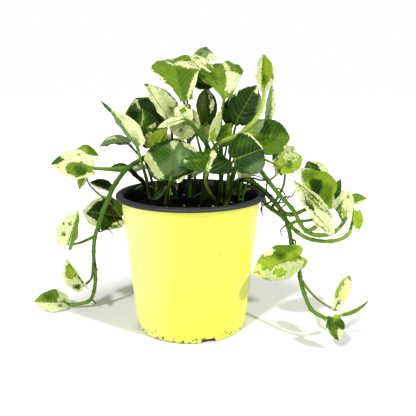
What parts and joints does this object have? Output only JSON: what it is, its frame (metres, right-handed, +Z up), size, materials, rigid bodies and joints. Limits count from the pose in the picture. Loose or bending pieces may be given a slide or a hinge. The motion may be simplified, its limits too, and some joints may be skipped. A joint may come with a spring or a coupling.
{
  "type": "potted trailing pothos",
  "caption": "Variegated trailing pothos in a tapered round nursery pot with a rolled rim; vines hang and arch past both sides.",
  "frame": {"origin": "centre of the pot's base, on the surface that it stands on", "axes": "+Z up, -Y the front that the picture shows, +X to its right"},
  "size_m": [0.3567, 0.1813, 0.2857],
  "materials": {
    "pot_yellow": "bright yellow plastic, smooth and slightly glossy",
    "pot_black": "matte black plastic",
    "soil": "damp dark potting mix with bark and white perlite",
    "stem": "smooth green, browner where old",
    "stem_young": "smooth pale green",
    "leaf": "waxy, green and cream patches"
  },
  "bodies": {
    "root": {"pot_outer_skin": "pot_yellow", "pot_inner_skin": "pot_black", "soil": "soil", "stem_left_vine": "stem", "stem_right_vine": "stem", "stem_right_dark": "stem", "stem_right_loop": "stem", "stem_young": "stem_young", "stem_arch": "stem", "stem_centre": "stem", "stem_centre_right": "stem", "stem_back": "stem", "leaf_crown_left": "leaf", "leaf_crown_right": "leaf", "leaf_crown_top": "leaf", "leaf_upper_left": "leaf", "leaf_left_dark": "leaf", "leaf_left_mottled": "leaf", "leaf_left_long": "leaf", "leaf_left_small": "leaf", "leaf_far_left": "leaf", "leaf_far_left_rear": "leaf", "leaf_left_hanging": "leaf", "leaf_left_edge": "leaf", "leaf_left_behind": "leaf", "leaf_left_lower": "leaf", "leaf_left_lower_small": "leaf", "leaf_left_bottom": "leaf", "leaf_front_left": "leaf", "leaf_front_centre": "leaf", "leaf_front_right": "leaf", "leaf_front_right_under": "leaf", "leaf_right_green": "leaf", "leaf_right_dark": "leaf", "leaf_right_dark_low": "leaf", "leaf_right_back": "leaf", "leaf_right_sheath": "leaf", "leaf_centre_cream": "leaf", "leaf_centre_hanging": "leaf", "leaf_centre_dark": "leaf", "leaf_centre_sheath": "leaf", "leaf_inner_green": "leaf", "leaf_right_pair": "leaf", "leaf_right_strip": "leaf", "leaf_right_pair_back": "leaf", "leaf_right_cup": "leaf", "leaf_right_cup_back": "leaf", "leaf_right_cream": "leaf", "leaf_right_tip": "leaf", "leaf_right_fold": "leaf", "leaf_right_hanging": "leaf", "leaf_right_low_cream": "leaf", "leaf_pot_side": "leaf", "leaf_right_narrow": "leaf", "leaf_right_bottom": "leaf", "leaf_back_left": "leaf", "leaf_back_centre": "leaf", "leaf_back_right": "leaf", "leaf_back_low": "leaf", "leaf_back_low_left": "leaf"}
  },
  "joints": []
}
